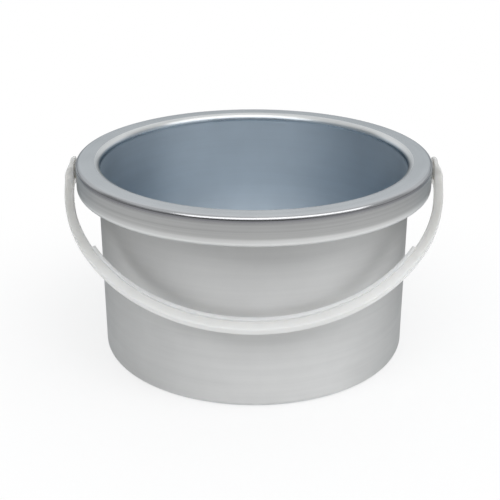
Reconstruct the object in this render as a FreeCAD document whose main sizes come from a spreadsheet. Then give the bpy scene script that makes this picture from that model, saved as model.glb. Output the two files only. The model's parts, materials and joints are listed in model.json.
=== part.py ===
import FreeCAD, Part
import math
import os
import Sketcher
from FreeCAD import Vector

# Inner pot of a wax warmer: a drawn aluminium pot with a turned-down collar, and a plastic bail
# that swings on two pegs snapped through the collar. Millimetres and degrees, +Z up, the origin
# at the centre of the base. The bail swings about X and hangs towards -Y.

doc = FreeCAD.newDocument("wax_warmer_pot")
sheet = doc.addObject("Spreadsheet::Sheet", "sizes")

SIZES = (
    ("rim_diameter", 125, "pot: outside of the collar"),
    ("pot_height", 70, "pot: from the base to the top of the rim"),
    ("collar_overhang", 7.5, "pot: from the outside of the straight wall to the outside of the collar"),
    ("collar_height", 10, "pot: from the top of the rim to the foot of the collar"),
    ("sheet_thickness", 1, "pot: aluminium sheet"),
    ("base_bend", 1, "pot: inside radius between base and wall"),
    ("mouth_bend", 1.5, "pot: inside radius between wall and rim ring"),
    ("rim_bend", 0.4, "pot: inside radius between rim ring and collar"),
    ("curl_bend", 0.6, "pot: inside radius of the roll at the foot of the collar"),
    ("peg_diameter", 3.8, "bail: peg that turns in the collar"),
    ("peg_clearance", 0.1, "running clearance around the peg, on the radius"),
    ("end_play", 0.3, "play of the collar between boss and peg head, on each side"),
    ("head_diameter", 4.6, "bail: catch of the peg's snap head"),
    ("head_length", 2.2, "bail: snap head, from its catch to its tip"),
    ("tip_diameter", 2.8, "bail: tip of the snap head"),
    ("head_clearance", 0.3, "from the snap head down to the roll of the collar"),
    ("slot_width", 0.8, "bail: slot that lets the snap head close up"),
    ("boss_diameter", 6.4, "bail: boss between eye and collar"),
    ("eye_diameter", 9.6, "bail: round eye at each end of the strap"),
    ("neck_radius", 8, "bail: hollow curve from the eye to the strap"),
    ("arm_length", 1.9, "bail: straight run from the peg to the start of the bow"),
    ("strap_gap", 0.9, "from the collar to the inside of the strap"),
    ("strap_thickness", 3.7, "bail: strap, across the bow"),
    ("strap_width", 3, "bail: strap, square to the bow"),
    ("strap_rounding", 0.5, "bail: rounded edges of the strap"),
    ("flange_inset", 0.6, "bail: how far the grip flange stands inside the strap"),
    ("flange_thickness", 1.3, "bail: grip flange, across the bow"),
    ("flange_width", 4.8, "bail: grip flange, square to the bow"),
    ("flange_rounding", 0.3, "bail: rounded edges of the grip flange"),
    ("flange_start", 33, "bail: degrees from the pegs to the start of the grip flange"),
    ("rest_gap", 0.3, "from the hanging bail to the wall of the pot"),
)
for row, (alias, amount, words) in enumerate(SIZES, start=1):
    sheet.set(f"A{row}", words)
    sheet.set(f"B{row}", str(amount))
    sheet.setAlias(f"B{row}", alias)
doc.recompute()

# Places that several features share, each an expression on the sheet.
RIM = "(sizes.rim_diameter / 2)"
BODY = f"({RIM} - sizes.collar_overhang)"
TOP = "sizes.pot_height"
SHEET = "sizes.sheet_thickness"
CURL = f"(sizes.curl_bend + {SHEET})"
CURL_HEIGHT = f"({TOP} - sizes.collar_height + {CURL})"
HINGE_HEIGHT = f"({CURL_HEIGHT} + sizes.head_clearance + sizes.head_diameter / 2)"
STRAP_INSIDE = f"({RIM} + sizes.strap_gap)"
STRAP_OUTSIDE = f"({STRAP_INSIDE} + sizes.strap_thickness)"
FLANGE_INSIDE = f"({STRAP_INSIDE} - sizes.flange_inset)"
BOW_CENTRE = "-sizes.arm_length"
EYE = "sizes.eye_diameter / 2"

# The bail hangs until the lower inside edge of its grip flange meets the wall. In the plane x = 0
# that edge goes round the hinge at REACH along the bow and HALF_FLANGE below it.
REACH = f"(sizes.arm_length + {FLANGE_INSIDE})"
HALF_FLANGE = "sizes.flange_width / 2"
REST_ANGLE = (
    f"acos(({BODY} + sizes.rest_gap) / hypot({REACH}; {HALF_FLANGE})) - atan({HALF_FLANGE} / {REACH})"
)

# How an outline goes on where it has no arc, and the least angle in degrees of an edge to be rounded.
STRAIGHT = None
SHARP_ANGLE = 20


def bend(turn, radius):
    """An arc to the next corner that turns left or right, seen along the outline."""
    return turn, radius


def new_body(label):
    body = doc.addObject("PartDesign::Body", label)
    body.Label = label
    return body


def new_sketch(body, name, plane):
    sketch = body.newObject("Sketcher::SketchObject", name)
    support = next(face for face in body.Origin.OriginFeatures if face.Role == plane)
    sketch.AttachmentSupport = [(support, "")]
    sketch.MapMode = "FlatFace"
    return sketch


def number(owner, expression):
    return float(owner.evalExpression(expression))


def bind(owner, path, expression):
    owner.setExpression(path, expression)


def dimension(sketch, kind, items, expression):
    """Add a dimension to a sketch and tie it to the sheet."""
    index = sketch.addConstraint(Sketcher.Constraint(kind, *items, number(sketch, expression)))
    name = f"size_{index}"
    sketch.renameConstraint(index, name)
    bind(sketch, f"Constraints.{name}", expression)


def pin_down(sketch, geometry, end, x, y):
    """Hold one end of a line or an arc at a place given by two expressions."""
    dimension(sketch, "DistanceX", (geometry, end), x)
    dimension(sketch, "DistanceY", (geometry, end), y)


def arc_between(start, finish, turn, radius):
    """The arc under a half turn from start to finish, which FreeCAD keeps anticlockwise."""
    if turn == "right":
        start, finish = finish, start
    chord = finish - start
    half = chord.Length / 2
    inward = Vector(-chord.y, chord.x, 0).normalize()
    centre = start + chord / 2 + inward * math.sqrt(max(radius**2 - half**2, 0))
    angles = [math.atan2(point.y - centre.y, point.x - centre.x) for point in (start, finish)]
    circle = Part.Circle(centre, Vector(0, 0, 1), radius)
    return Part.ArcOfCircle(circle, *angles)


def outline(sketch, corners):
    """Draw a closed outline. Each corner is x, y and how the outline goes on to the next corner."""
    points = [Vector(number(sketch, x), number(sketch, y), 0) for x, y, _ in corners]
    ends = []
    for index, (_, _, way) in enumerate(corners):
        start, finish = points[index], points[(index + 1) % len(points)]
        if way is STRAIGHT:
            geometry = sketch.addGeometry(Part.LineSegment(start, finish))
            ends.append((geometry, 1, 2))
            continue
        turn, radius = way
        geometry = sketch.addGeometry(arc_between(start, finish, turn, number(sketch, radius)))
        dimension(sketch, "Radius", (geometry,), radius)
        ends.append((geometry, 1, 2) if turn == "left" else (geometry, 2, 1))
    for index, (x, y, _) in enumerate(corners):
        geometry, first, _ = ends[index]
        before, _, last = ends[index - 1]
        sketch.addConstraint(Sketcher.Constraint("Coincident", before, last, geometry, first))
        pin_down(sketch, geometry, first, x, y)


def rectangle(sketch, left, right, low, high):
    outline(sketch, [(x, y, STRAIGHT) for x, y in ((left, low), (right, low), (right, high), (left, high))])


def mirrored(corners):
    """The same outline on the other side of the sketch's upright axis."""
    return [(f"-({x})", y, STRAIGHT) for x, y, _ in corners]


def axis_line(sketch, start, finish):
    """A construction line between two places, for features that turn about it."""
    points = [Vector(number(sketch, x), number(sketch, y), 0) for x, y in (start, finish)]
    geometry = sketch.addGeometry(Part.LineSegment(*points), True)
    pin_down(sketch, geometry, 1, *start)
    pin_down(sketch, geometry, 2, *finish)
    return sketch, ["Axis0"]


def feature(body, kind, name, sketch):
    made = body.newObject(f"PartDesign::{kind}", name)
    made.Profile = sketch
    return made


def removed_volume(body, before):
    """What the last cut took away, which must be more than nothing."""
    doc.recompute()
    taken = before - body.Shape.Volume
    if taken <= 0:
        raise RuntimeError(f"{body.Label}: the cut {body.Tip.Name} removed nothing")
    return taken


def build_pot():
    """The drawn pot: one sheet in section, turned about Z, with a peg hole on each side."""
    body = new_body("pot")
    section = new_sketch(body, "sheet_section", "XZ_Plane")
    base = f"(sizes.base_bend + {SHEET})"
    mouth = f"(sizes.mouth_bend + {SHEET})"
    rim = f"(sizes.rim_bend + {SHEET})"
    inside = f"{BODY} - {SHEET}"
    mouth_centre = f"{inside} + {mouth}"
    outline(section, [
        ("0", "0", STRAIGHT),
        (f"{BODY} - {base}", "0", bend("left", base)),
        (BODY, base, STRAIGHT),
        (BODY, f"{TOP} - {mouth}", bend("right", "sizes.mouth_bend")),
        (mouth_centre, f"{TOP} - {SHEET}", STRAIGHT),
        (f"{RIM} - {rim}", f"{TOP} - {SHEET}", bend("right", "sizes.rim_bend")),
        (f"{RIM} - {SHEET}", f"{TOP} - {rim}", STRAIGHT),
        (f"{RIM} - {SHEET}", CURL_HEIGHT, bend("right", "sizes.curl_bend")),
        (f"{RIM} - {CURL}", f"{CURL_HEIGHT} - sizes.curl_bend", bend("right", "sizes.curl_bend")),
        (f"{RIM} - {CURL} - sizes.curl_bend", CURL_HEIGHT, STRAIGHT),
        (f"{RIM} - 2 * {CURL}", CURL_HEIGHT, bend("left", CURL)),
        (f"{RIM} - {CURL}", f"{CURL_HEIGHT} - {CURL}", bend("left", CURL)),
        (RIM, CURL_HEIGHT, STRAIGHT),
        (RIM, f"{TOP} - {rim}", bend("left", rim)),
        (f"{RIM} - {rim}", TOP, STRAIGHT),
        (mouth_centre, TOP, bend("left", mouth)),
        (inside, f"{TOP} - {mouth}", STRAIGHT),
        (inside, base, bend("right", "sizes.base_bend")),
        (f"{BODY} - {base}", SHEET, STRAIGHT),
        ("0", SHEET, STRAIGHT),
    ])
    shell = feature(body, "Revolution", "drawn_shell", section)
    shell.ReferenceAxis = (section, ["V_Axis"])
    shell.Angle = 360
    doc.recompute()
    shell_volume = body.Shape.Volume

    holes = new_sketch(body, "peg_hole_section", "XZ_Plane")
    hinge = axis_line(holes, (f"-({RIM})", HINGE_HEIGHT), (RIM, HINGE_HEIGHT))
    hole_radius = "(sizes.peg_diameter / 2 + sizes.peg_clearance)"
    near, far = f"{RIM} - 2 * {SHEET}", f"{RIM} + {SHEET}"
    hole_top = f"{HINGE_HEIGHT} + {hole_radius}"
    rectangle(holes, near, far, HINGE_HEIGHT, hole_top)
    rectangle(holes, f"-({far})", f"-({near})", HINGE_HEIGHT, hole_top)
    drilled = feature(body, "Groove", "peg_holes", holes)
    drilled.ReferenceAxis = hinge
    drilled.Angle = 360
    taken = removed_volume(body, shell_volume)
    print(f"pot: sheet {shell_volume:.0f} mm3, peg holes {taken:.2f} mm3")
    return body


def build_bail():
    """The bail, lying flat: hinge along X, bow towards -Y, Z square to the bow."""
    body = new_body("bail_handle")
    blank = new_sketch(body, "bow_section", "YZ_Plane")
    bow_axis = axis_line(blank, (BOW_CENTRE, f"-({EYE})"), (BOW_CENTRE, EYE))
    rectangle(blank, f"{BOW_CENTRE} - {STRAP_OUTSIDE}", f"{BOW_CENTRE} - {STRAP_INSIDE}", f"-({EYE})", EYE)
    bow = feature(body, "Revolution", "bow", blank)
    bow.ReferenceAxis = bow_axis
    bow.Midplane = True
    bow.Angle = 180

    arms = new_sketch(body, "arm_section", "XZ_Plane")
    bind(arms, "AttachmentOffset.Base.z", f"-({EYE})")
    rectangle(arms, STRAP_INSIDE, STRAP_OUTSIDE, f"-({EYE})", EYE)
    rectangle(arms, f"-{STRAP_OUTSIDE}", f"-{STRAP_INSIDE}", f"-({EYE})", EYE)
    straight = feature(body, "Pad", "arms", arms)
    bind(straight, "Length", f"{EYE} + sizes.arm_length")
    doc.recompute()
    blank_volume = body.Shape.Volume

    # Seen along the hinge, the strap runs into the eye through a hollow curve on each side.
    side = new_sketch(body, "side_profile", "YZ_Plane")
    half = "sizes.strap_width / 2"
    neck = "sizes.neck_radius"
    neck_height = f"({half} + {neck})"
    neck_reach = f"sqrt(({EYE} + {neck})^2 - {neck_height}^2)"
    share = f"{EYE} / ({EYE} + {neck})"
    front = f"{BOW_CENTRE} - {STRAP_OUTSIDE} - sizes.strap_thickness"
    margin = "sizes.strap_thickness"
    rectangle(side, f"{front} - {margin}", f"{EYE} + {margin}", f"-({EYE} + {margin})", f"{EYE} + {margin}")
    outline(side, [
        (front, f"-{half}", STRAIGHT),
        (f"-{neck_reach}", f"-{half}", bend("right", neck)),
        (f"-{share} * {neck_reach}", f"-{share} * {neck_height}", bend("left", EYE)),
        (EYE, "0", bend("left", EYE)),
        (f"-{share} * {neck_reach}", f"{share} * {neck_height}", bend("right", neck)),
        (f"-{neck_reach}", half, STRAIGHT),
        (front, half, STRAIGHT),
    ])
    trimmed = feature(body, "Pocket", "strap_and_eyes", side)
    trimmed.Type = "ThroughAll"
    trimmed.Midplane = True
    taken = removed_volume(body, blank_volume)
    print(f"bail_handle: trimmed {taken:.0f} of {blank_volume:.0f} mm3")

    rounded = body.newObject("PartDesign::Fillet", "strap_edges")
    rounded.Base = (trimmed, sharp_edges(trimmed.Shape))
    bind(rounded, "Radius", "sizes.strap_rounding")

    grip = new_sketch(body, "flange_section", "YZ_Plane")
    grip_axis = axis_line(grip, (BOW_CENTRE, f"-({HALF_FLANGE})"), (BOW_CENTRE, HALF_FLANGE))
    corner = "sizes.flange_rounding"
    inner = f"{BOW_CENTRE} - {FLANGE_INSIDE}"
    outer = f"{inner} - sizes.flange_thickness"
    turn = bend("left", corner)
    outline(grip, [
        (f"{outer} + {corner}", f"-{HALF_FLANGE}", STRAIGHT),
        (f"{inner} - {corner}", f"-{HALF_FLANGE}", turn),
        (inner, f"-{HALF_FLANGE} + {corner}", STRAIGHT),
        (inner, f"{HALF_FLANGE} - {corner}", turn),
        (f"{inner} - {corner}", HALF_FLANGE, STRAIGHT),
        (f"{outer} + {corner}", HALF_FLANGE, turn),
        (outer, f"{HALF_FLANGE} - {corner}", STRAIGHT),
        (outer, f"-{HALF_FLANGE} + {corner}", turn),
    ])
    flange = feature(body, "Revolution", "grip_flange", grip)
    flange.ReferenceAxis = grip_axis
    flange.Midplane = True
    bind(flange, "Angle", "180 - 2 * sizes.flange_start")

    pegs = new_sketch(body, "peg_section", "XY_Plane")
    root = f"{STRAP_INSIDE} + sizes.strap_rounding"
    boss_face = f"{RIM} + sizes.end_play"
    catch = f"{RIM} - {SHEET} - sizes.end_play"
    tip = f"{catch} - sizes.head_length"
    peg_outline = [
        (tip, "0", STRAIGHT),
        (root, "0", STRAIGHT),
        (root, "sizes.boss_diameter / 2", STRAIGHT),
        (boss_face, "sizes.boss_diameter / 2", STRAIGHT),
        (boss_face, "sizes.peg_diameter / 2", STRAIGHT),
        (catch, "sizes.peg_diameter / 2", STRAIGHT),
        (catch, "sizes.head_diameter / 2", STRAIGHT),
        (tip, "sizes.tip_diameter / 2", STRAIGHT),
    ]
    outline(pegs, peg_outline)
    outline(pegs, mirrored(peg_outline))
    snapped = feature(body, "Revolution", "snap_pegs", pegs)
    snapped.ReferenceAxis = (pegs, ["H_Axis"])
    snapped.Angle = 360
    doc.recompute()
    whole_volume = body.Shape.Volume

    slots = new_sketch(body, "slot_outline", "XY_Plane")
    half_slot = "sizes.slot_width / 2"
    rectangle(slots, f"{tip} - {SHEET}", RIM, f"-{half_slot}", half_slot)
    rectangle(slots, f"-({RIM})", f"-({tip} - {SHEET})", f"-{half_slot}", half_slot)
    split = feature(body, "Pocket", "peg_slots", slots)
    split.Type = "ThroughAll"
    split.Midplane = True
    taken = removed_volume(body, whole_volume)
    print(f"bail_handle: whole {whole_volume:.0f} mm3, peg slots {taken:.2f} mm3")

    body.Placement = FreeCAD.Placement(Vector(), FreeCAD.Rotation(Vector(1, 0, 0), 1))
    bind(body, "Placement.Base.z", HINGE_HEIGHT)
    bind(body, "Placement.Rotation.Angle", REST_ANGLE)
    doc.recompute()
    return body


def sharp_edges(shape):
    """Names of the edges where two faces meet at more than a slight angle."""
    names = []
    for index, edge in enumerate(shape.Edges, start=1):
        faces = shape.ancestorsOfType(edge, Part.Face)
        middle = edge.valueAt((edge.FirstParameter + edge.LastParameter) / 2)
        normals = [face.normalAt(*face.Surface.parameter(middle)) for face in faces]
        if len(normals) == 2 and normals[0].getAngle(normals[1]) > math.radians(SHARP_ANGLE):
            names.append(f"Edge{index}")
    return names


bodies = [build_pot(), build_bail()]
failed = [item.Name for item in doc.Objects if {"Invalid", "Error"} & set(item.State)]
if failed:
    raise RuntimeError("failed: " + ", ".join(failed))
os.makedirs("parts", exist_ok=True)
for body in bodies:
    shape = body.Shape
    if shape.isNull() or not shape.isValid():
        raise RuntimeError(f"{body.Label} has no valid shape")
for body in bodies:
    body.Shape.exportStep(f"parts/{body.Label}.step")
    print(f"{body.Label}: {len(body.Shape.Solids)} solid, {body.Shape.Volume:.0f} mm3")
hinge = bodies[1].Placement
print(f"hinge {hinge.Base.z:.3f} mm up, bail {math.degrees(hinge.Rotation.Angle):.3f} degrees below level")
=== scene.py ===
import json
import math

import bpy
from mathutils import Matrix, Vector


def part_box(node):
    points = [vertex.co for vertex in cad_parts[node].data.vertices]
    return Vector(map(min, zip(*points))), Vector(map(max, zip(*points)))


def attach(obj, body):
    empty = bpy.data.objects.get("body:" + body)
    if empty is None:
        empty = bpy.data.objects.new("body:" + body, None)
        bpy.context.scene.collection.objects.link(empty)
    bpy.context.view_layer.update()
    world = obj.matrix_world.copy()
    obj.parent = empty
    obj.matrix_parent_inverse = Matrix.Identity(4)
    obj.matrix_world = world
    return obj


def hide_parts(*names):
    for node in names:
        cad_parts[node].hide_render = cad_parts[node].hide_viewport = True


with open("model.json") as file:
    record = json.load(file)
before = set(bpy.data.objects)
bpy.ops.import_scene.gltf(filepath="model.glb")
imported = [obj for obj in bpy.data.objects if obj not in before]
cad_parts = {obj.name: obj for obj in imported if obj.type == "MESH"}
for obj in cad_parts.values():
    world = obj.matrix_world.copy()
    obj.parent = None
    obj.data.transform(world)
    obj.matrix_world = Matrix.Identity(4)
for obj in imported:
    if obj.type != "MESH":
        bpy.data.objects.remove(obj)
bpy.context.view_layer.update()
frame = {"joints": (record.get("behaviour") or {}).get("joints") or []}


# The pot is one aluminium sheet, deep drawn to a dull, straight wall and a flat base. Its mouth is
# turned out to a flat ring and down to a collar, whose raw foot is curled inwards. A hole on each
# side of the collar takes a peg of the bail. The drawing tools leave faint lines round it.
pot_top_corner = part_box("pot")[1]
RIM_RADIUS = pot_top_corner.x
POT_HEIGHT = pot_top_corner.z
COLLAR_OVERHANG = 0.0075
COLLAR_HEIGHT = 0.010
SHEET = 0.001
BASE_BEND = 0.001
MOUTH_BEND = 0.0015
RIM_BEND = 0.0004
CURL_BEND = 0.0006
PEG_RADIUS = 0.0019
PEG_CLEARANCE = 0.0001
HINGE_HEIGHT = frame["joints"][0]["pos_m"][2]
WALL_RADIUS = RIM_RADIUS - COLLAR_OVERHANG
COLLAR_FOOT = POT_HEIGHT - COLLAR_HEIGHT
DRILL_DEPTH = SHEET * 2.5
TURN_STEPS = 320
DRILL_STEPS = 64
BEND_STEPS = 10
MERGE_DISTANCE = 1e-6
SHARP_ANGLE = math.radians(35)
LARGE_FACE_WEIGHT = 100

WALL_METAL = (0.84, 0.84, 0.835)
# Painted shade: the outer wall is painted darker towards the top, for the shade under the collar.
UPPER_WALL_METAL_PAINTED_DARK = (0.775, 0.775, 0.77)
RING_METAL = (0.66, 0.665, 0.675)
# Painted shade: the rounded edge of the rim is painted darker, so that only a thin highlight shows on
# it.
EDGE_METAL_PAINTED_DARK = (0.52, 0.52, 0.53)
# Painted shade: the collar is painted darker than the wall, darkest towards the rim, for the dim
# surroundings that it mirrors.
COLLAR_METAL_PAINTED_DARK = (0.48, 0.48, 0.475)
UPPER_COLLAR_METAL_PAINTED_DARKER = (0.39, 0.39, 0.39)
# Painted reflection: a dark line just under the rim's edge stands in for the dark front that the edge
# mirrors.
UNDER_EDGE_PAINTED_DARK_LINE = (0.20, 0.20, 0.21)
# Painted light and shade inside: the bowl is painted cool for the cool light it mirrors, darker near
# the mouth and lighter deep down.
INSIDE_METAL_PAINTED_COOL_DARK = (0.52, 0.595, 0.665)
DEEP_INSIDE_METAL_PAINTED_COOL_LIGHT = (0.77, 0.83, 0.885)
# Painted shade at the outline: these tints darken what the metal mirrors at grazing angles, the wall's
# almost to black.
GRAZING_PAINTED_DARK = (0.50, 0.53, 0.55)
GRAZING_WALL_PAINTED_DARK = (0.04, 0.05, 0.05)

# The heights or radii between which one tone or finish fades into the next, painted shade and
# highlights among them.
RIM_EDGE = RIM_BEND + SHEET
MOUTH_EDGE = MOUTH_BEND + SHEET
CURL_EDGE = CURL_BEND + SHEET
WALL_SHADE_FADE = (0.004, COLLAR_FOOT)
CURL_HIGHLIGHT_FADE = (COLLAR_FOOT + CURL_EDGE * 0.5, COLLAR_FOOT + CURL_EDGE * 2.0)
COLLAR_SHADE_FADE = (COLLAR_FOOT + CURL_EDGE, POT_HEIGHT - RIM_EDGE)
RING_FADE = (POT_HEIGHT - RIM_EDGE, POT_HEIGHT - RIM_EDGE / 4)
EDGE_FOOT_FADE = (POT_HEIGHT - RIM_EDGE * 1.6, POT_HEIGHT - RIM_EDGE)
EDGE_SIDE_FADE = (RIM_RADIUS - RIM_EDGE, RIM_RADIUS - RIM_EDGE / 2)
UNDER_EDGE_FOOT_FADE = (POT_HEIGHT - 0.0024, POT_HEIGHT - 0.0014)
UNDER_EDGE_TOP_FADE = (POT_HEIGHT - 0.0010, POT_HEIGHT - 0.0007)
INSIDE_TOP_FADE = (POT_HEIGHT - MOUTH_EDGE * 0.8, POT_HEIGHT - MOUTH_EDGE * 0.2)
DEEP_INSIDE_FADE = (0.015, 0.045)
MOUTH_FOOT_FADE = (POT_HEIGHT - 0.0032, POT_HEIGHT - 0.0024)
MOUTH_SIDE_FADE = (WALL_RADIUS + MOUTH_BEND * 0.7, WALL_RADIUS + MOUTH_BEND)

# Patterns in the metal: scale round the pot, scale along the sheet, and detail.
FINE_LINES = (6, 900, 3)
STREAKS = (22, 320, 2)
BLOTCH_SCALE = 45
BLOTCH_DETAIL = 3
NOISE_MIDDLE = 0.5
NOISE_ROUGHNESS = 0.55

# How much each pattern and place changes the tone, the relief and the roughness.
WALL_LINE_TONE = 0.05
RING_LINE_TONE = 0.12
COLLAR_LINE_TONE = 0.70
STREAK_TONE = 0.12
BLOTCH_TONE = 0.20
WALL_LINE_RELIEF = 0.4
COLLAR_LINE_RELIEF = 1.0
STREAK_RELIEF = 0.4
RELIEF_DEPTH = 0.00002
SATIN_ROUGHNESS = 0.23
STREAK_ROUGHNESS = 0.12
BLOTCH_ROUGHNESS = 0.10
WALL_ROUGHNESS = 0.30
INSIDE_ROUGHNESS = 0.20
POLISH = 0.5


class Wire:
    """A node's output. Operators on wires and numbers add Math nodes to the wire's own tree."""

    def __init__(self, socket):
        self.socket = socket
        self.tree = Tree(socket.id_data)

    def out(self, name):
        """Another output of the same node."""
        return Wire(pick(self.socket.node.outputs, name))

    def math(self, operation, *terms):
        return self.tree.node("ShaderNodeMath", {"operation": operation}, dict(enumerate(terms)))

    def __add__(self, other):
        return self.math("ADD", self, other)

    def __sub__(self, other):
        return self.math("SUBTRACT", self, other)

    def __rsub__(self, other):
        return self.math("SUBTRACT", other, self)

    def __mul__(self, other):
        return self.math("MULTIPLY", self, other)

    def __truediv__(self, other):
        return self.math("DIVIDE", self, other)

    def __rtruediv__(self, other):
        return self.math("DIVIDE", other, self)

    def __neg__(self):
        return self * -1

    def __abs__(self):
        return self.math("ABSOLUTE", self)

    __radd__ = __add__
    __rmul__ = __mul__

    def sign(self):
        return self.math("SIGN", self)

    def sine(self):
        return self.math("SINE", self)

    def most(self, other):
        """The larger of two values."""
        return self.math("MAXIMUM", self, other)

    def root(self):
        """The square root, and nothing below zero."""
        return self.math("SQRT", self.most(0))

    def hypot(self, other):
        """The distance that two lengths at right angles reach."""
        return (self * self + other * other).root()

    def above(self, limit):
        """One where the value is over the limit, else zero."""
        return self.math("GREATER_THAN", self, limit)

    def smooth(self, low, high):
        """A soft step from zero at low to one at high."""
        settings = {"interpolation_type": "SMOOTHSTEP"}
        sockets = {"Value": self, "From Min": low, "From Max": high}
        return self.tree.node("ShaderNodeMapRange", settings, sockets)


def pick(sockets, key):
    """A socket by its place, or by its name among those that the node's settings leave in use."""
    if isinstance(key, int):
        return sockets[key]
    return next(socket for socket in sockets if socket.enabled and socket.name == key)


class Tree:
    """A node tree under construction, for a shape, a material or the world."""

    def __init__(self, graph):
        self.graph = graph

    def node(self, kind, settings=None, sockets=None):
        """Add a node: its settings first, then what goes into its sockets."""
        made = self.graph.nodes.new(kind)
        for name, setting in (settings or {}).items():
            if name == "choices":
                while len(made.index_switch_items) < setting:
                    made.index_switch_items.new()
            else:
                setattr(made, name, setting)
        self.fill(made, sockets or {})
        outputs = [socket for socket in made.outputs if socket.enabled]
        return Wire(outputs[0]) if outputs else None

    def fill(self, node, sockets):
        """Give each named socket of a node a value, a wire or a list of wires."""
        for key, value in sockets.items():
            socket = pick(node.inputs, key)
            for item in value if isinstance(value, list) else [value]:
                if isinstance(item, Wire):
                    self.graph.links.new(item.socket, socket)
                else:
                    socket.default_value = item

    def vector(self, x, y, z):
        return self.node("ShaderNodeCombineXYZ", {}, {"X": x, "Y": y, "Z": z})

    def split(self, vector):
        """The three coordinates of a vector."""
        x = self.node("ShaderNodeSeparateXYZ", {}, {"Vector": vector})
        return x, x.out("Y"), x.out("Z")

    def choice(self, kind, items):
        """The item whose number is the point's own index."""
        index = self.node("GeometryNodeInputIndex")
        sockets = {str(place): item for place, item in enumerate(items)}
        settings = {"data_type": kind, "choices": len(items)}
        return self.node("GeometryNodeIndexSwitch", settings, {"Index": index, **sockets})

    def bent_line(self, corners, steps):
        """A line through corners, each a place and the radius of its bend."""
        places, bends = zip(*corners)
        line = self.node("GeometryNodeCurvePrimitiveLine")
        line = self.node("GeometryNodeResampleCurve", {}, {"Curve": line, "Count": len(corners)})
        line = self.node("GeometryNodeSetPosition", {},
                         {"Geometry": line, "Position": self.choice("VECTOR", places)})
        return self.filleted(line, self.choice("FLOAT", bends), steps)

    def filleted(self, line, radius, steps):
        return self.node("GeometryNodeFilletCurve", {"mode": "POLY"}, {
            "Curve": line, "Count": steps, "Radius": radius, "Limit Radius": True})

    def swept(self, path, section, caps=False):
        """A section carried along a flat path, its X square to the path and its Y downwards."""
        path = self.node("GeometryNodeSetCurveNormal", {"mode": "Z_UP"}, {"Curve": path})
        return self.node("GeometryNodeCurveToMesh", {},
                         {"Curve": path, "Profile Curve": section, "Fill Caps": caps})

    def turned(self, corners, steps, reach):
        """A section turned about Z. Each corner is a radius, a height and the radius of its bend."""
        section = self.bent_line([(self.vector(radius - reach, -height, 0), bend)
                                  for radius, height, bend in corners], BEND_STEPS)
        circle = self.node("GeometryNodeCurvePrimitiveCircle", {},
                           {"Resolution": steps, "Radius": reach})
        return self.merged(self.swept(circle, section))

    def merged(self, mesh):
        return self.node("GeometryNodeMergeByDistance", {},
                         {"Geometry": mesh, "Distance": MERGE_DISTANCE})

    def moved(self, mesh, place, turn=(0, 0, 0)):
        return self.node("GeometryNodeTransform", {},
                         {"Geometry": mesh, "Translation": place, "Rotation": turn})

    def cut(self, mesh, cutters):
        return self.node("GeometryNodeMeshBoolean", {"operation": "DIFFERENCE", "solver": "EXACT"},
                         {"Mesh 1": mesh, "Mesh 2": cutters})

    def object_place(self):
        """The place of a shaded point on its own object."""
        return self.node("ShaderNodeTexCoord").out("Object")

    def noise(self, place, scale, detail):
        return self.node("ShaderNodeTexNoise", {}, {
            "Vector": place, "Scale": scale, "Detail": detail, "Roughness": NOISE_ROUGHNESS})

    def mixed(self, share, first, second):
        """Two colours mixed by a share of the second."""
        return self.node("ShaderNodeMix", {"data_type": "RGBA"}, {
            "Factor": share,
            "A": first if isinstance(first, Wire) else (*first, 1),
            "B": second if isinstance(second, Wire) else (*second, 1)})

    def toned(self, colour, tone):
        """A colour made lighter or darker by a factor."""
        return self.node("ShaderNodeVectorMath", {"operation": "SCALE"}, {0: colour, "Scale": tone})


def grown(name, sizes, finish, shape):
    """A piece made by a node tree, as a plain mesh. Its sizes are the tree's named inputs."""
    group = bpy.data.node_groups.new(name, "GeometryNodeTree")
    group.interface.new_socket("Mesh", in_out="OUTPUT", socket_type="NodeSocketGeometry")
    values = {**sizes, "Finish": finish}
    inputs = {}
    for label in values:
        kind = "NodeSocketMaterial" if label == "Finish" else "NodeSocketFloat"
        inputs[label] = group.interface.new_socket(label, in_out="INPUT", socket_type=kind)
    tree = Tree(group)
    entry = tree.node("NodeGroupInput")
    form = tree.merged(shape(tree, {label: entry.out(label) for label in sizes}))
    form = tree.node("GeometryNodeSetShadeSmooth", {}, {"Geometry": form, "Shade Smooth": True})
    angle = tree.node("GeometryNodeInputMeshEdgeAngle")
    form = tree.node("GeometryNodeSetShadeSmooth", {"domain": "EDGE"}, {
        "Geometry": form, "Selection": angle.above(SHARP_ANGLE), "Shade Smooth": False})
    form = tree.node("GeometryNodeRealizeInstances", {}, {"Geometry": form})
    form = tree.node("GeometryNodeSetMaterial", {},
                     {"Geometry": form, "Material": entry.out("Finish")})
    tree.node("NodeGroupOutput", {}, {"Mesh": form})

    piece = bpy.data.objects.new(name, bpy.data.meshes.new(name))
    bpy.context.scene.collection.objects.link(piece)
    modifier = piece.modifiers.new("shape", "NODES")
    modifier.node_group = group
    for label, value in values.items():
        modifier[inputs[label].identifier] = value
    normals = piece.modifiers.new("normals", "WEIGHTED_NORMAL")
    normals.weight = LARGE_FACE_WEIGHT
    normals.keep_sharp = True
    evaluated = piece.evaluated_get(bpy.context.evaluated_depsgraph_get())
    mesh = bpy.data.meshes.new_from_object(evaluated)
    # The cutters' faces leave an empty slot in front of the finish.
    mesh.materials.clear()
    mesh.materials.append(finish)
    piece.modifiers.clear()
    piece.data = mesh
    return piece


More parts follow.
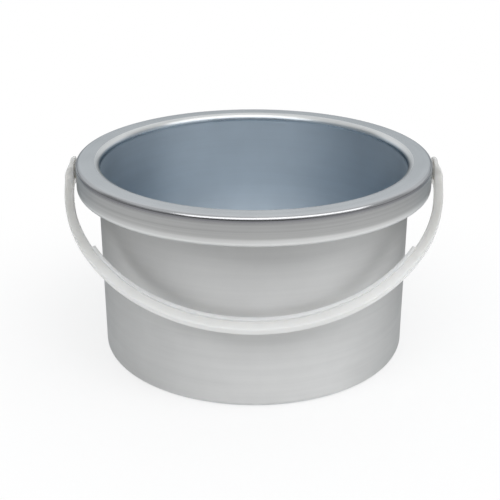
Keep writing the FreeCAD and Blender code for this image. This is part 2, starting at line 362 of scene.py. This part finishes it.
def pot_shape(tree, size):
    """The sheet in section, up the outside, round the collar's foot and back down the inside."""
    rim, top, sheet = size["Rim Radius"], size["Height"], size["Sheet"]
    wall = rim - size["Collar Overhang"]
    foot = top - size["Collar Height"]
    curl = size["Curl Bend"] + sheet
    inside = wall - sheet
    curl_end = rim - curl * 2
    shell = tree.turned([
        (0, 0, 0),
        (wall, 0, size["Base Bend"] + sheet),
        (wall, top - sheet, size["Mouth Bend"]),
        (rim - sheet, top - sheet, size["Rim Bend"]),
        (rim - sheet, foot + sheet, size["Curl Bend"]),
        (curl_end + sheet, foot + sheet, size["Curl Bend"]),
        (curl_end + sheet, foot + curl, 0),
        (curl_end, foot + curl, 0),
        (curl_end, foot, curl),
        (rim, foot, curl),
        (rim, top, size["Rim Bend"] + sheet),
        (inside, top, size["Mouth Bend"] + sheet),
        (inside, sheet, size["Base Bend"]),
        (0, sheet, 0),
    ], TURN_STEPS, rim)
    drill = tree.node("GeometryNodeMeshCylinder", {}, {
        "Vertices": DRILL_STEPS, "Radius": size["Hole Radius"], "Depth": size["Drill Depth"]})
    drill = tree.moved(drill, (0, 0, 0), (0, math.pi / 2, 0))
    reach = rim - sheet / 2
    sides = tree.node("GeometryNodeMeshLine", {}, {
        "Count": 2,
        "Start Location": tree.vector(-reach, 0, size["Hinge Height"]),
        "Offset": tree.vector(reach * 2, 0, 0)})
    drills = tree.node("GeometryNodeInstanceOnPoints", {}, {"Points": sides, "Instance": drill})
    return tree.cut(shell, tree.node("GeometryNodeRealizeInstances", {}, {"Geometry": drills}))


def new_material(name):
    """A node material and the tree and shader to work on."""
    material = bpy.data.materials.new(name)
    material.use_nodes = True
    return material, Tree(material.node_tree), material.node_tree.nodes["Principled BSDF"]


def drawn_aluminium(name, grazing):
    """Satin metal, lined round the collar, polished on ring, edge and mouth. Its tones carry painted
    light
    and shade: a wall darker towards the collar, a dark collar with a painted highlight on its curl, a
    darker rim edge with a painted dark line under it, and an inside painted cool, darker near the mouth
    and lighter deep down.

    Grazing is a tint that darkens what it mirrors at its outline, a painted shade there.
    """
    material, tree, shader = new_material(name)
    place = tree.object_place()
    x, y, height = tree.split(place)
    radius = x.hypot(y)
    along_sheet = radius - height

    def drawn_pattern(round_scale, along_scale, detail):
        stretched = tree.vector(x * round_scale, y * round_scale, along_sheet * along_scale)
        return tree.noise(stretched, 1, detail)

    lines = drawn_pattern(*FINE_LINES)
    streaks = drawn_pattern(*STREAKS)
    blotches = tree.noise(place, BLOTCH_SCALE, BLOTCH_DETAIL)

    within_wall = 1 - radius.above(WALL_RADIUS - SHEET / 2)
    inside = within_wall * height.above(SHEET / 2) * (1 - height.smooth(*INSIDE_TOP_FADE))
    beyond_wall = radius.above(WALL_RADIUS + SHEET)
    on_wall = (1 - beyond_wall) * (1 - inside)
    on_ring = height.smooth(*RING_FADE)
    on_collar = beyond_wall * (1 - on_ring)
    on_edge = radius.smooth(*EDGE_SIDE_FADE) * height.smooth(*EDGE_FOOT_FADE)
    under_edge = (radius.above(RIM_RADIUS - SHEET / 2) * height.smooth(*UNDER_EDGE_FOOT_FADE)
                  * (1 - height.smooth(*UNDER_EDGE_TOP_FADE)))
    on_mouth = height.smooth(*MOUTH_FOOT_FADE) * (1 - radius.smooth(*MOUTH_SIDE_FADE))

    # Painted shade: the wall darkens upwards to the collar, standing in for the collar's shade.
    wall = tree.mixed(height.smooth(*WALL_SHADE_FADE), WALL_METAL, UPPER_WALL_METAL_PAINTED_DARK)
    # Painted highlight: the curled foot of the collar keeps the wall's lighter tone, for the light that
    # it catches.
    collar = tree.mixed(height.smooth(*CURL_HIGHLIGHT_FADE), WALL_METAL, COLLAR_METAL_PAINTED_DARK)
    # Painted shade: the collar darkens towards the rim.
    collar = tree.mixed(height.smooth(*COLLAR_SHADE_FADE), collar, UPPER_COLLAR_METAL_PAINTED_DARKER)
    collar = tree.mixed(on_ring, collar, RING_METAL)
    # Painted light and shade: the cool inside, lighter deep down.
    bowl = tree.mixed(height.smooth(*DEEP_INSIDE_FADE), DEEP_INSIDE_METAL_PAINTED_COOL_LIGHT, INSIDE_METAL_PAINTED_COOL_DARK)
    colour = tree.mixed(beyond_wall, wall, collar)
    colour = tree.mixed(inside, colour, bowl)
    # Painted shade on the rounded edge of the rim.
    colour = tree.mixed(on_edge, colour, EDGE_METAL_PAINTED_DARK)
    # Painted reflection: the dark line under the rim's edge.
    colour = tree.mixed(under_edge, colour, UNDER_EDGE_PAINTED_DARK_LINE)
    line_tone = (WALL_LINE_TONE + beyond_wall * (RING_LINE_TONE - WALL_LINE_TONE)
                 + on_collar * (COLLAR_LINE_TONE - RING_LINE_TONE))
    tone = (1 + (lines - NOISE_MIDDLE) * line_tone + (streaks - NOISE_MIDDLE) * STREAK_TONE
            + (blotches - NOISE_MIDDLE) * BLOTCH_TONE)

    line_relief = WALL_LINE_RELIEF + beyond_wall * (COLLAR_LINE_RELIEF - WALL_LINE_RELIEF)
    relief = tree.node("ShaderNodeBump", {}, {
        "Strength": 0.25,
        "Distance": RELIEF_DEPTH,
        "Height": lines * line_relief + streaks * STREAK_RELIEF,
    })
    satin = (SATIN_ROUGHNESS + streaks * STREAK_ROUGHNESS + blotches * BLOTCH_ROUGHNESS
             + on_wall * WALL_ROUGHNESS + inside * INSIDE_ROUGHNESS)
    polished = on_mouth.most(on_ring.most(on_edge))
    tree.fill(shader, {
        "Base Color": tree.toned(colour, tone),
        "Metallic": 1.0,
        "Roughness": satin * (1 - polished * POLISH),
        "Specular Tint": (*grazing, 1),
        "Anisotropic": 0.8,
        "Anisotropic Rotation": 0.25,
        "Normal": relief,
    })
    return material


pot = grown("drawn_pot", {
    "Rim Radius": RIM_RADIUS,
    "Height": POT_HEIGHT,
    "Collar Overhang": COLLAR_OVERHANG,
    "Collar Height": COLLAR_HEIGHT,
    "Sheet": SHEET,
    "Base Bend": BASE_BEND,
    "Mouth Bend": MOUTH_BEND,
    "Rim Bend": RIM_BEND,
    "Curl Bend": CURL_BEND,
    "Hole Radius": PEG_RADIUS + PEG_CLEARANCE,
    "Drill Depth": DRILL_DEPTH,
    "Hinge Height": HINGE_HEIGHT,
}, drawn_aluminium("drawn_aluminium", GRAZING_PAINTED_DARK), pot_shape)
# Below the collar the outside of the wall takes a copy whose outline is painted near black, a painted
# shade for the dim sides that it mirrors.
pot.data.materials.append(drawn_aluminium("wall_aluminium_painted_dark_outline", GRAZING_WALL_PAINTED_DARK))
for face in pot.data.polygons:
    from_axis = math.hypot(face.center.x, face.center.y)
    if abs(from_axis - WALL_RADIUS) < SHEET / 2 and face.center.z < COLLAR_FOOT:
        face.material_index = 1
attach(pot, "pot")
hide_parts("pot")


# The bail is one moulding of natural, milky plastic. A strap bent to a half circle carries a
# flange on its inside as a grip, and ends in round eyes. A slotted peg on each eye is snapped
# through the collar, and the bail hangs on the pegs until its grip lies on the wall.
STRAP_GAP = 0.0009
STRAP_THICKNESS = 0.0037
STRAP_WIDTH = 0.003
STRAP_ROUNDING = 0.0005
EYE_RADIUS = 0.0048
EYE_DOME = 0.0024
ARM_TAPER = 0.0006
ARM_REACH = 0.045
NECK_RADIUS = 0.008
ARM_LENGTH = 0.0019
FLANGE_INSET = 0.0006
FLANGE_THICKNESS = 0.0013
FLANGE_WIDTH = 0.0048
FLANGE_ROUNDING = 0.0003
FLANGE_START = math.radians(33)
REST_GAP = 0.0003
BOSS_RADIUS = 0.0032
HEAD_RADIUS = 0.0023
TIP_RADIUS = 0.0014
HEAD_LENGTH = 0.0022
PEG_ROUNDING = 0.0002
SLOT_WIDTH = 0.0008
SLOT_HEIGHT = HEAD_RADIUS * 4
END_PLAY = 0.0003
STRAP_INSIDE = RIM_RADIUS + STRAP_GAP
FLANGE_INSIDE = STRAP_INSIDE - FLANGE_INSET
FLANGE_REACH = ARM_LENGTH + FLANGE_INSIDE
HANG_ANGLE = (math.acos((WALL_RADIUS + REST_GAP) / math.hypot(FLANGE_REACH, FLANGE_WIDTH / 2))
              - math.atan(FLANGE_WIDTH / 2 / FLANGE_REACH))
BOW_STEPS = 128
STRAP_STEP = 0.0004
FLANGE_STEPS = 240
ROUNDING_STEPS = 5
PEG_STEPS = 64

GRIP_PLASTIC = (0.83, 0.825, 0.81)
# Painted light and shade: the flange is painted whiter against the shade by the wall, the arms greyer
# for the less light on their sides.
FLANGE_PLASTIC_PAINTED_LIGHT = (0.98, 0.98, 0.97)
ARM_PLASTIC_PAINTED_SHADE = (0.60, 0.595, 0.58)
FLANGE_FADE = (STRAP_INSIDE, STRAP_INSIDE + FLANGE_THICKNESS)
ARM_FADE = (-RIM_RADIUS * 0.75, -RIM_RADIUS * 0.25)
FLOW_SCALE = 60
FLOW_DETAIL = 3
FLOW_TONE = 0.12
FLOW_ROUGHNESS = 0.08
GLOSS_ROUGHNESS = 0.18
GRAIN_SCALE = 2500
GRAIN_DETAIL = 2
GRAIN_DEPTH = 0.00003


def rounded_bar(tree, width, height, rounding):
    """The outline of a flat bar with rounded edges."""
    bar = tree.node("GeometryNodeCurvePrimitiveQuadrilateral", {},
                    {"Width": width, "Height": height})
    return tree.filleted(bar, rounding, ROUNDING_STEPS)


def strap_shape(tree, size):
    """The strap along its bow, thinner and wider at both ends, to a neck and a round, domed eye."""
    middle = size["Strap Inside"] + size["Strap Thickness"] / 2
    eye, neck, half = size["Eye Radius"], size["Neck Radius"], size["Strap Width"] / 2
    turn = -size["Arm Length"] - middle
    path = tree.bent_line([
        (tree.vector(middle, eye, 0), 0),
        (tree.vector(middle, turn, 0), middle),
        (tree.vector(-middle, turn, 0), middle),
        (tree.vector(-middle, eye, 0), 0),
    ], BOW_STEPS)
    path = tree.node("GeometryNodeResampleCurve", {"mode": "LENGTH"},
                     {"Curve": path, "Length": STRAP_STEP})
    x, y, z = tree.split(tree.node("GeometryNodeInputPosition"))
    # The steps crowd towards each end, so that the eye closes in a smooth round.
    crowded = eye * (y / eye * (math.pi / 2)).sine()
    path = tree.node("GeometryNodeSetPosition", {}, {
        "Geometry": path, "Selection": y.above(0), "Position": tree.vector(x, crowded, z)})
    section = rounded_bar(tree, size["Strap Thickness"], size["Strap Width"], size["Strap Rounding"])
    strap = tree.swept(path, section)

    neck_reach = ((eye + neck) * (eye + neck) - (half + neck) * (half + neck)).root()
    at_neck = y.above(-neck_reach)
    at_eye = y.above(-(neck_reach * eye / (eye + neck)))
    neck_half = half + neck - (neck * neck - (y + neck_reach) * (y + neck_reach)).root()
    eye_half = (eye * eye - y * y).root()
    added = (neck_half - half) * at_neck * (1 - at_eye) + (eye_half - half) * at_eye
    width = z.sign() * (abs(z) + added).most(0)
    depth = (abs(x) - size["Strap Inside"]) / size["Strap Thickness"]
    from_peg = (y * y + width * width) / (eye * eye)
    dome = (from_peg + 1 - (1 - from_peg).root()) / 2 * y.smooth(-eye, 0)
    taper = y.smooth(-size["Arm Reach"], -eye)
    domed = x - x.sign() * depth * (size["Eye Dome"] * dome + size["Arm Taper"] * taper)
    strap = tree.node("GeometryNodeSetPosition", {}, {
        "Geometry": strap, "Position": tree.vector(domed, y, width)})
    return tree.merged(strap)


def flange_shape(tree, size):
    """The grip flange along the front of the bow."""
    middle = size["Flange Inside"] + size["Flange Thickness"] / 2
    arc = tree.node("GeometryNodeCurveArc", {"mode": "RADIUS"}, {
        "Resolution": FLANGE_STEPS,
        "Radius": middle,
        "Start Angle": -size["Flange Start"],
        "Sweep Angle": size["Flange Start"] * 2 - math.pi,
    })
    section = rounded_bar(tree, size["Flange Thickness"], size["Flange Width"], size["Flange Rounding"])
    return tree.moved(tree.swept(arc, section, caps=True), tree.vector(0, -size["Arm Length"], 0))


def peg_shape(tree, size):
    """A boss, a peg and its slotted snap head, turned about X on the right of the bail."""
    catch = size["Rim Radius"] - size["Sheet"] - size["End Play"]
    tip = catch - size["Head Length"]
    boss_face = size["Rim Radius"] + size["End Play"]
    inside = size["Strap Inside"] + size["Strap Rounding"]
    peg = tree.turned([
        (0, tip, 0),
        (size["Tip Radius"], tip, size["Peg Rounding"]),
        (size["Head Radius"], catch, size["Peg Rounding"]),
        (size["Peg Radius"], catch, 0),
        (size["Peg Radius"], boss_face, 0),
        (size["Boss Radius"], boss_face, size["Peg Rounding"]),
        (size["Boss Radius"], inside, 0),
        (0, inside, 0),
    ], PEG_STEPS, size["Boss Radius"])
    peg = tree.moved(peg, (0, 0, 0), (0, math.pi / 2, 0))
    slot_length = size["Rim Radius"] - tip + size["Sheet"]
    slot = tree.node("GeometryNodeMeshCube", {}, {
        "Size": tree.vector(slot_length, size["Slot Width"], size["Slot Height"])})
    slot = tree.moved(slot, tree.vector(size["Rim Radius"] - slot_length / 2, 0, 0))
    return tree.cut(peg, slot)


def bail_shape(tree, size):
    """Strap, flange and pegs as one moulding, turned down about the hinge to where it hangs."""
    peg = peg_shape(tree, size)
    other_peg = tree.moved(peg, (0, 0, 0), (0, 0, math.pi))
    parts = [strap_shape(tree, size), flange_shape(tree, size), peg, other_peg]
    moulding = tree.node("GeometryNodeMeshBoolean", {"operation": "UNION", "solver": "EXACT"},
                         {1: parts})
    return tree.moved(moulding, tree.vector(0, 0, size["Hinge Height"]),
                      tree.vector(size["Hang Angle"], 0, 0))


def natural_plastic():
    """Glossy, milky plastic with faint flow clouds, painted whiter on the flange against its shade by
    the wall, and painted greyer on the arms, whose sides get less light.
    """
    material, tree, shader = new_material("natural_plastic")
    place = tree.object_place()
    x, y, height = tree.split(place)
    flow = tree.noise(place, FLOW_SCALE, FLOW_DETAIL)
    grain = tree.noise(place, GRAIN_SCALE, GRAIN_DETAIL)
    from_hinge = y * math.cos(HANG_ANGLE) + (height - HINGE_HEIGHT) * math.sin(HANG_ANGLE)
    bow_radius = x.hypot(from_hinge + ARM_LENGTH)
    on_flange = 1 - bow_radius.smooth(*FLANGE_FADE)
    # Painted light on the flange and painted shade on the arms.
    colour = tree.mixed(on_flange, GRIP_PLASTIC, FLANGE_PLASTIC_PAINTED_LIGHT)
    colour = tree.mixed(y.smooth(*ARM_FADE), colour, ARM_PLASTIC_PAINTED_SHADE)
    relief = tree.node("ShaderNodeBump", {}, {
        "Strength": 0.15, "Distance": GRAIN_DEPTH, "Height": grain})
    tree.fill(shader, {
        "Base Color": tree.toned(colour, 1 + (flow - NOISE_MIDDLE) * FLOW_TONE),
        "Roughness": GLOSS_ROUGHNESS + flow * FLOW_ROUGHNESS,
        "IOR": 1.49,
        "Subsurface Weight": 1.0,
        "Subsurface Radius": (1.0, 0.97, 0.92),
        "Subsurface Scale": 0.005,
        "Transmission Weight": 0.05,
        "Normal": relief,
    })
    return material


bail = grown("bail", {
    "Rim Radius": RIM_RADIUS,
    "Sheet": SHEET,
    "Hinge Height": HINGE_HEIGHT,
    "Hang Angle": HANG_ANGLE,
    "Arm Length": ARM_LENGTH,
    "Strap Inside": STRAP_INSIDE,
    "Strap Thickness": STRAP_THICKNESS,
    "Strap Width": STRAP_WIDTH,
    "Strap Rounding": STRAP_ROUNDING,
    "Eye Radius": EYE_RADIUS,
    "Eye Dome": EYE_DOME,
    "Arm Taper": ARM_TAPER,
    "Arm Reach": ARM_REACH,
    "Neck Radius": NECK_RADIUS,
    "Flange Inside": FLANGE_INSIDE,
    "Flange Thickness": FLANGE_THICKNESS,
    "Flange Width": FLANGE_WIDTH,
    "Flange Rounding": FLANGE_ROUNDING,
    "Flange Start": FLANGE_START,
    "Boss Radius": BOSS_RADIUS,
    "Peg Radius": PEG_RADIUS,
    "Peg Rounding": PEG_ROUNDING,
    "Head Radius": HEAD_RADIUS,
    "Tip Radius": TIP_RADIUS,
    "Head Length": HEAD_LENGTH,
    "End Play": END_PLAY,
    "Slot Width": SLOT_WIDTH,
    "Slot Height": SLOT_HEIGHT,
}, natural_plastic(), bail_shape)
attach(bail, "bail")
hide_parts("bail_handle")


# The floor is a wide sheet of matt white paper, which the pot stands on. Seen from a distance it
# is plain white, and close to the pot it keeps the pot's shadow.
FLOOR_REACH = 12
FLOOR_CORNERS = ((-1, -1), (1, -1), (1, 1), (-1, 1))
PAPER_WHITE = (0.94, 0.94, 0.94)
PLAIN_WHITE = (1, 1, 1)
SHADOW_LIFT = 0.7
SHADOW_REACH = 0.06
WHITE_REACH = 0.17
METAL_LIFT = 0.15
METAL_WHITE_REACH = 0.60


def ray_kinds(tree):
    """One for a ray from the camera and one for a ray that metal or glass sends on, else zero."""
    ray = tree.node("ShaderNodeLightPath")
    sent_on = ray.out("Is Glossy Ray") + ray.out("Is Transmission Ray")
    return ray.out("Is Camera Ray"), sent_on.smooth(0, 1)


floor_mesh = bpy.data.meshes.new("floor")
floor_mesh.from_pydata(
    [(x * FLOOR_REACH, y * FLOOR_REACH, 0) for x, y in FLOOR_CORNERS], [], [(0, 1, 2, 3)])
floor = bpy.data.objects.new("floor", floor_mesh)
bpy.context.scene.collection.objects.link(floor)
paper, paper_tree, paper_shader = new_material("white_paper")
paper_tree.fill(paper_shader, {
    "Base Color": (*PAPER_WHITE, 1),
    "Roughness": 0.9,
    "Specular IOR Level": 0.0,
})
floor_x, floor_y = paper_tree.split(paper_tree.object_place())[:2]
from_pot = floor_x.hypot(floor_y)
plain = SHADOW_LIFT + from_pot.smooth(SHADOW_REACH, WHITE_REACH) * (1 - SHADOW_LIFT)
plain_in_metal = METAL_LIFT + from_pot.smooth(SHADOW_REACH, METAL_WHITE_REACH) * (1 - METAL_LIFT)
seen, seen_in_metal = ray_kinds(paper_tree)
white = paper_tree.node("ShaderNodeEmission", {}, {"Color": (*PLAIN_WHITE, 1)})
paper_look = paper_tree.node("ShaderNodeMixShader", {}, {
    0: seen * plain + seen_in_metal * plain_in_metal,
    1: Wire(paper_shader.outputs[0]),
    2: white,
})
paper_tree.fill(paper.node_tree.nodes["Material Output"], {"Surface": paper_look})
floor_mesh.materials.append(paper)


# The light is a soft studio's. A wide strip lamp with a brighter middle hangs high in front, in a
# dim room with a pale roof, a paler wall behind and lit sides. The camera sees the room as plain
# white, and so does metal along the horizon.
ROOF_LIGHT = 0.74
BACK_LIGHT = 0.93
ROOM_LIGHT = 0.15
LEFT_LIGHT = 0.35
RIGHT_LIGHT = 0.70
COOL_LIGHT = (0.96, 0.985, 1.0)
LAMP_PLACE = Vector((0.09, -0.31, 0.62))
LAMP_WIDTH = 1.35
LAMP_HEIGHT = 0.36
LAMP_POWER = 2.5
MIDDLE_WIDTH = 0.4
MIDDLE_POWER = 0.50

# The parts of a direction of length one between which each light fades in.
ROOF_FADE = (0.35, 0.75)
BACK_FADE = (0.15, 0.65)
BACK_FOOT_FADE = (0.02, 0.20)
SIDE_FADE = (0.15, 0.50)
SIDE_FRONT_FADE = (-0.5, 0.0)
SIDE_FOOT_FADE = (0.0, 0.15)
SIDE_TOP_FADE = (0.25, 0.55)
LEFT_TO_RIGHT_FADE = (-0.5, 0.5)
HORIZON_FADE = (0.0, 0.05)

world = bpy.data.worlds.new("studio")
world.use_nodes = True
bpy.context.scene.world = world
sky = Tree(world.node_tree)
sky_x, sky_y, sky_z = sky.split(sky.node("ShaderNodeTexCoord").out("Generated"))
roof = sky_z.smooth(*ROOF_FADE)
behind = sky_y.smooth(*BACK_FADE) * sky_z.smooth(*BACK_FOOT_FADE)
sideways = sky_x * sky_x / (1 - sky_z * sky_z)
beside = (sideways.smooth(*SIDE_FADE) * (-sky_y).smooth(*SIDE_FRONT_FADE)
          * (sky_z.smooth(*SIDE_FOOT_FADE) - sky_z.smooth(*SIDE_TOP_FADE)))
overhead = (roof * (ROOF_LIGHT - ROOM_LIGHT)).most(behind * (BACK_LIGHT - ROOM_LIGHT))
side_light = LEFT_LIGHT + sky_x.smooth(*LEFT_TO_RIGHT_FADE) * (RIGHT_LIGHT - LEFT_LIGHT)
room = ROOM_LIGHT + overhead + beside * (side_light - ROOM_LIGHT)
seen, seen_in_metal = ray_kinds(sky)
plain_share = seen + seen_in_metal * (1 - sky_z.smooth(*HORIZON_FADE))
sky.fill(world.node_tree.nodes["Background"], {
    "Color": sky.mixed(plain_share, COOL_LIGHT, PLAIN_WHITE),
    "Strength": room + plain_share * (1 - room),
})


def soft_lamp(name, width, power):
    """A flat lamp that faces the pot from high in front."""
    data = bpy.data.lights.new(name, "AREA")
    data.shape = "RECTANGLE"
    data.size = width
    data.size_y = LAMP_HEIGHT
    data.energy = power
    lamp = bpy.data.objects.new(name, data)
    lamp.location = LAMP_PLACE
    lamp.rotation_euler = (-LAMP_PLACE).to_track_quat("-Z", "Y").to_euler()
    bpy.context.scene.collection.objects.link(lamp)


soft_lamp("wide_lamp", LAMP_WIDTH, LAMP_POWER)
soft_lamp("middle_lamp", MIDDLE_WIDTH, MIDDLE_POWER)


# The camera stands in front and looks down at the pot from about 23 degrees. It aims a little
# beside the pot's middle, so that the pot sits in the frame as in the photograph.
LENS = 72
SENSOR = 36
CLIP_START = 0.01
CAMERA_DISTANCE = 0.36933
CAMERA_ELEVATION = math.radians(23.328)
POT_MIDDLE = Vector((0, 0, 0.03024))
FRAME_CENTRE_LEFT = 0.001366
FRAME_CENTRE_UP = 0.002756

upward = Vector((0, math.sin(CAMERA_ELEVATION), math.cos(CAMERA_ELEVATION)))
towards_camera = Vector((0, -math.cos(CAMERA_ELEVATION), math.sin(CAMERA_ELEVATION)))
lens_place = POT_MIDDLE + towards_camera * CAMERA_DISTANCE
aim = POT_MIDDLE + upward * FRAME_CENTRE_UP - Vector((FRAME_CENTRE_LEFT, 0, 0))
camera_data = bpy.data.cameras.new("camera")
camera_data.lens = LENS
camera_data.sensor_width = SENSOR
camera_data.clip_start = CLIP_START
camera = bpy.data.objects.new("camera", camera_data)
camera.location = lens_place
camera.rotation_euler = (aim - lens_place).to_track_quat("-Z", "Y").to_euler()
bpy.context.scene.collection.objects.link(camera)
bpy.context.scene.camera = camera
bpy.context.scene.view_settings.view_transform = "Standard"
